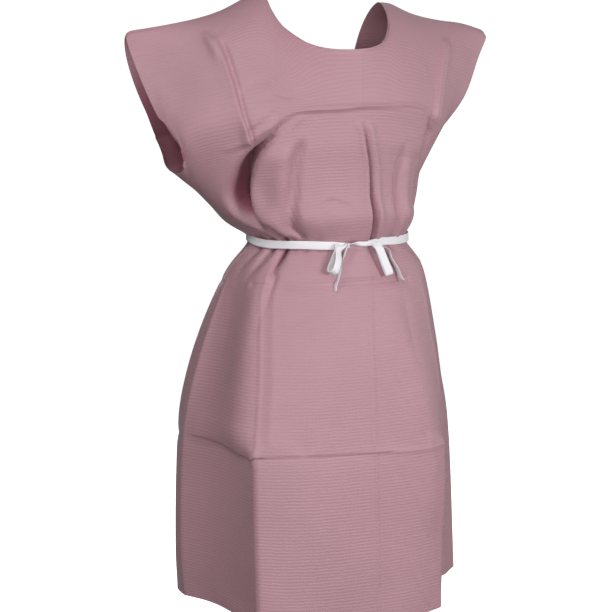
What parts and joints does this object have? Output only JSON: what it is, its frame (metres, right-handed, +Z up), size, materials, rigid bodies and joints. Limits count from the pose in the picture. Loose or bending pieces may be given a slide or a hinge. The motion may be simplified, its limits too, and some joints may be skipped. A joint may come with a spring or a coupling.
{
  "type": "patient gown",
  "caption": "Knee-length disposable examination gown with cap sleeves and an open back, tied at the waist with a flat belt and bow.",
  "frame": {"origin": "midway between the two sides of the neck opening, on the shoulder line where the gown rests on its wearer", "axes": "+Z up, front of the gown towards -Y, the wearer's left towards +X"},
  "size_m": [0.6182, 0.3072, 0.9506],
  "materials": {
    "gown_tissue": "matte ribbed tissue laminate",
    "seam_tissue": "matte bonded seam allowance",
    "belt_tape": "matte non-woven tape"
  },
  "bodies": {
    "gown": {"front_yoke": "gown_tissue", "right_shoulder": "gown_tissue", "left_shoulder": "gown_tissue", "front_bodice": "gown_tissue", "front_hip": "gown_tissue", "front_skirt_upper": "gown_tissue", "front_skirt_lower": "gown_tissue", "right_back_bodice": "gown_tissue", "left_back_bodice": "gown_tissue", "right_back_skirt": "gown_tissue", "left_back_skirt": "gown_tissue", "right_side_seam": "seam_tissue", "left_side_seam": "seam_tissue", "belt_band": "belt_tape", "belt_knot": "belt_tape"},
    "right_sleeve": {"right_cap_sleeve": "gown_tissue"},
    "left_sleeve": {"left_cap_sleeve": "gown_tissue"},
    "right_vent": {"right_back_vent": "gown_tissue"},
    "left_vent": {"left_back_vent": "gown_tissue"},
    "right_loop": {"right_bow_loop": "belt_tape"},
    "left_loop": {"left_bow_loop": "belt_tape"},
    "right_tail": {"right_tie_end": "belt_tape"},
    "left_tail": {"left_tie_end": "belt_tape"}
  },
  "joints": [
    {"name": "right_sleeve_lift", "type": "hinge", "parent": "gown", "child": "right_sleeve", "pos_m": [-0.182, 0.0105, -0.0222], "axis": [0, 1, 0], "range_deg": [0, 45]},
    {"name": "left_sleeve_lift", "type": "hinge", "parent": "gown", "child": "left_sleeve", "pos_m": [0.182, 0.0105, -0.0222], "axis": [0, -1, 0], "range_deg": [0, 45]},
    {"name": "right_vent_open", "type": "hinge", "parent": "gown", "child": "right_vent", "pos_m": [-0.0115, 0.109, -0.3905], "axis": [0.2468, -0.0659, 0.9668], "range_deg": [0, 60]},
    {"name": "left_vent_open", "type": "hinge", "parent": "gown", "child": "left_vent", "pos_m": [0.0285, 0.109, -0.3905], "axis": [0.2181, 0.0664, -0.9737], "range_deg": [0, 60]},
    {"name": "right_loop_lift", "type": "hinge", "parent": "gown", "child": "right_loop", "pos_m": [-0.022, -0.1015, -0.369], "axis": [-1, 0, 0], "range_deg": [0, 75]},
    {"name": "left_loop_lift", "type": "hinge", "parent": "gown", "child": "left_loop", "pos_m": [0.043, -0.1008, -0.369], "axis": [-1, 0, 0], "range_deg": [0, 75]},
    {"name": "right_tail_lift", "type": "hinge", "parent": "gown", "child": "right_tail", "pos_m": [-0.011, -0.103, -0.374], "axis": [-1, 0, 0], "range_deg": [0, 75]},
    {"name": "left_tail_lift", "type": "hinge", "parent": "gown", "child": "left_tail", "pos_m": [0.061, -0.0965, -0.374], "axis": [-1, 0, 0], "range_deg": [0, 75]}
  ]
}
